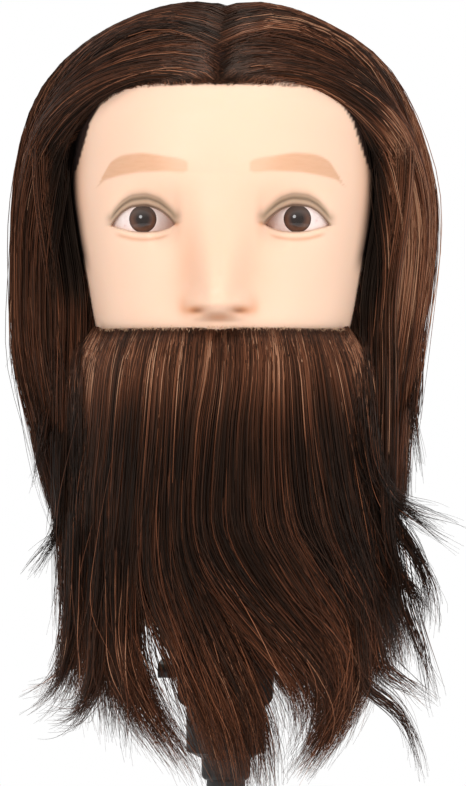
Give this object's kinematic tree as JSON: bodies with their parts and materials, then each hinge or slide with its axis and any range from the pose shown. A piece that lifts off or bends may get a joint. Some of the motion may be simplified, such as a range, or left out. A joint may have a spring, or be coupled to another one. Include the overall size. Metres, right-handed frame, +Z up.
{
  "type": "mannequin training head",
  "caption": "Bearded mannequin training head with long hair, pushed onto a peg that tilts, swivels and clamps to a bench.",
  "frame": {"origin": "where the post axis meets the table top, in the plane of the upper jaw pad's underside", "axes": "+Z up along the post; the face looks along -Y; +X is to the right for someone who looks at the face"},
  "size_m": [0.21, 0.227, 0.538],
  "materials": {
    "skin": "satin, soft vinyl",
    "foam": "rigid foam",
    "hair": "combed straight fibre",
    "eye_white": "polished",
    "iris": "printed",
    "clear": "clear acrylic",
    "black_plastic": "satin moulded",
    "nylon": "natural",
    "steel": "zinc plated",
    "frame_paint": "black powder coat",
    "pad_rubber": "matte",
    "brass": "turned"
  },
  "bodies": {
    "clamp": {"clamp_frame": "frame_paint", "jaw_pad": "pad_rubber", "screw_bush": "brass", "swivel_post": "black_plastic", "post_pin": "steel"},
    "swivel": {"swivel_head": "black_plastic", "swivel_washer": "nylon", "tilt_nut": "steel"},
    "neck": {"tilt_post": "black_plastic", "tilt_washers": "nylon", "sleeve_washer": "steel", "sleeve_screw": "steel"},
    "peg": {"peg_sleeve": "black_plastic"},
    "head": {"head_shell": "skin", "foam_core": "foam", "neck_socket": "nylon", "socket_screws": "steel", "eyeball_left": "eye_white", "eyeball_right": "eye_white", "iris_left": "iris", "iris_right": "iris", "cornea_left": "clear", "cornea_right": "clear", "hair_left": "hair", "hair_right": "hair", "hair_back": "hair", "beard": "hair"},
    "handle": {"tilt_bolt": "steel", "tilt_handle": "black_plastic"},
    "lock": {"lock_screw": "steel", "lock_knob": "black_plastic"},
    "foot": {"foot_plate": "steel", "foot_pad": "pad_rubber", "foot_clip": "steel"},
    "screw": {"clamp_screw": "steel"},
    "bar": {"tommy_bar": "steel", "bar_caps": "black_plastic"}
  },
  "joints": [
    {"name": "swivel_turn", "type": "hinge", "parent": "clamp", "child": "swivel", "pos_m": [0, 0, 0.08], "axis": [0, 0, 1], "continuous": true},
    {"name": "head_tilt", "type": "hinge", "parent": "swivel", "child": "neck", "pos_m": [0, 0, 0.12], "axis": [1, 0, 0], "range_deg": [-30, 30]},
    {"name": "peg_turn", "type": "hinge", "parent": "neck", "child": "peg", "pos_m": [0, 0, 0.16], "axis": [0, 0, 1], "continuous": true},
    {"name": "head_lift", "type": "slide", "parent": "peg", "child": "head", "axis": [0, 0, 1], "range_m": [0, 0.06]},
    {"name": "tilt_handle_turn", "type": "hinge", "parent": "swivel", "child": "handle", "pos_m": [0, 0, 0.12], "axis": [1, 0, 0], "range_deg": [-90, 90]},
    {"name": "lock_turn", "type": "hinge", "parent": "swivel", "child": "lock", "pos_m": [0, 0.02, 0.091], "axis": [0, 1, 0], "range_deg": [-180, 180]},
    {"name": "foot_travel", "type": "slide", "parent": "clamp", "child": "foot", "axis": [0, 0, 1], "range_m": [-0.018, 0.0175]},
    {"name": "screw_turn", "type": "hinge", "parent": "foot", "child": "screw", "pos_m": [0, 0.008, -0.06], "axis": [0, 0, 1], "range_deg": [-3241, 3241]},
    {"name": "bar_slide", "type": "slide", "parent": "screw", "child": "bar", "axis": [1, 0, 0], "range_m": [-0.0245, 0.0245]}
  ],
  "couplings": [
    {"joint": "screw_turn", "follows": "foot_travel", "rad_per_m": 3141.6}
  ]
}
